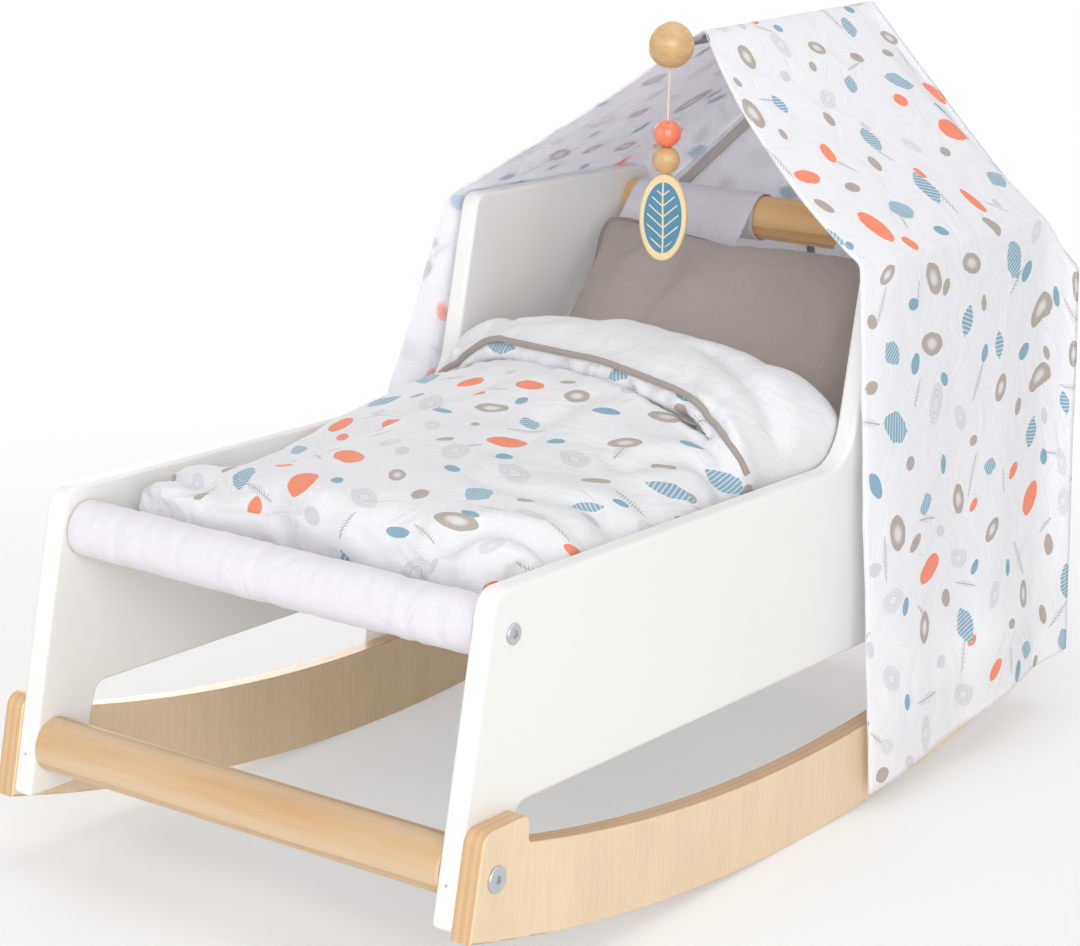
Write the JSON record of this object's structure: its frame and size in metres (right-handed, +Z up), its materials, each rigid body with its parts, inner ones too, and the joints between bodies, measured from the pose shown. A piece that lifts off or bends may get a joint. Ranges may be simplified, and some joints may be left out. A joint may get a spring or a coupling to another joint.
{
  "type": "doll cradle",
  "caption": "Doll cradle on plywood rockers with a cotton sling bed, duvet, pillow, tent canopy on a steel rod and a hanging mobile.",
  "frame": {"origin": "bottom centre: on the floor under the lowest line of the rockers, midway between the side boards and between the two ends", "axes": "+Z up, +Y to the head end with the canopy, +X to the right hand side board, level across the long low edges"},
  "size_m": [0.3354, 0.6128, 0.4315],
  "materials": {
    "white_paint": "satin white paint on fibreboard",
    "rocker_plywood": "clear lacquered poplar plywood",
    "pine": "clear lacquered pine dowel",
    "pine_warm": "oiled pine dowel",
    "beech": "waxed beech",
    "coral_lacquer": "gloss coral lacquer on turned wood",
    "medallion_wood": "pale lime wood with a painted oval",
    "zinc_steel": "zinc plated steel",
    "rod_steel": "drawn steel rod",
    "brass_insert": "brass",
    "white_cotton": "plain woven white cotton",
    "print_cotton": "white cotton with a scattered print",
    "taupe_cotton": "plain woven taupe cotton",
    "taupe_tape": "taupe bias tape",
    "string": "twisted cotton string"
  },
  "bodies": {
    "frame": {"side_board_left": "white_paint", "side_board_right": "white_paint", "rocker_left": "rocker_plywood", "rocker_right": "rocker_plywood", "foot_stretcher": "pine", "head_stretcher": "pine", "foot_sling_bar": "pine_warm", "head_sling_bar": "pine_warm", "sling_bed": "white_cotton", "rocker_bolts": "zinc_steel", "sling_bar_bolts": "zinc_steel", "stretcher_inserts": "brass_insert", "sling_bar_inserts": "brass_insert", "leg_pins": "zinc_steel"},
    "canopy": {"canopy_rod": "rod_steel", "ridge_ball": "beech", "canopy_cloth": "print_cotton", "canopy_gable": "print_cotton", "ridge_tunnel": "white_cotton", "gable_seam_binding": "taupe_tape"},
    "mobile_knot": {"string_knot": "string"},
    "mobile": {"mobile_string": "string", "bead_coral": "coral_lacquer", "bead_natural": "beech"},
    "medallion": {"leaf_medallion": "medallion_wood"},
    "pillow": {"pillow": "taupe_cotton"},
    "duvet": {"duvet": "print_cotton", "duvet_piping": "taupe_tape"}
  },
  "joints": [
    {"name": "canopy_lift", "type": "slide", "parent": "frame", "child": "canopy", "axis": [0, -0.2034, 0.9791], "range_m": [0, 0.24]},
    {"name": "mobile_swing_fore_aft", "type": "hinge", "parent": "canopy", "child": "mobile_knot", "pos_m": [0, 0.0728, 0.40735], "axis": [1, 0, 0], "range_deg": [-40, 40]},
    {"name": "mobile_swing_sideways", "type": "hinge", "parent": "mobile_knot", "child": "mobile", "pos_m": [0, 0.0728, 0.40735], "axis": [0, 1, 0], "range_deg": [-40, 40]},
    {"name": "medallion_twist", "type": "hinge", "parent": "mobile", "child": "medallion", "pos_m": [0, 0.0728, 0.345], "axis": [0, 0, 1], "range_deg": [-180, 180]},
    {"name": "pillow_lift", "type": "slide", "parent": "frame", "child": "pillow", "axis": [0, 0, 1], "range_m": [0, 0.045]},
    {"name": "duvet_lift", "type": "slide", "parent": "frame", "child": "duvet", "axis": [0, -0.5, 0.866], "range_m": [0, 0.1]}
  ]
}
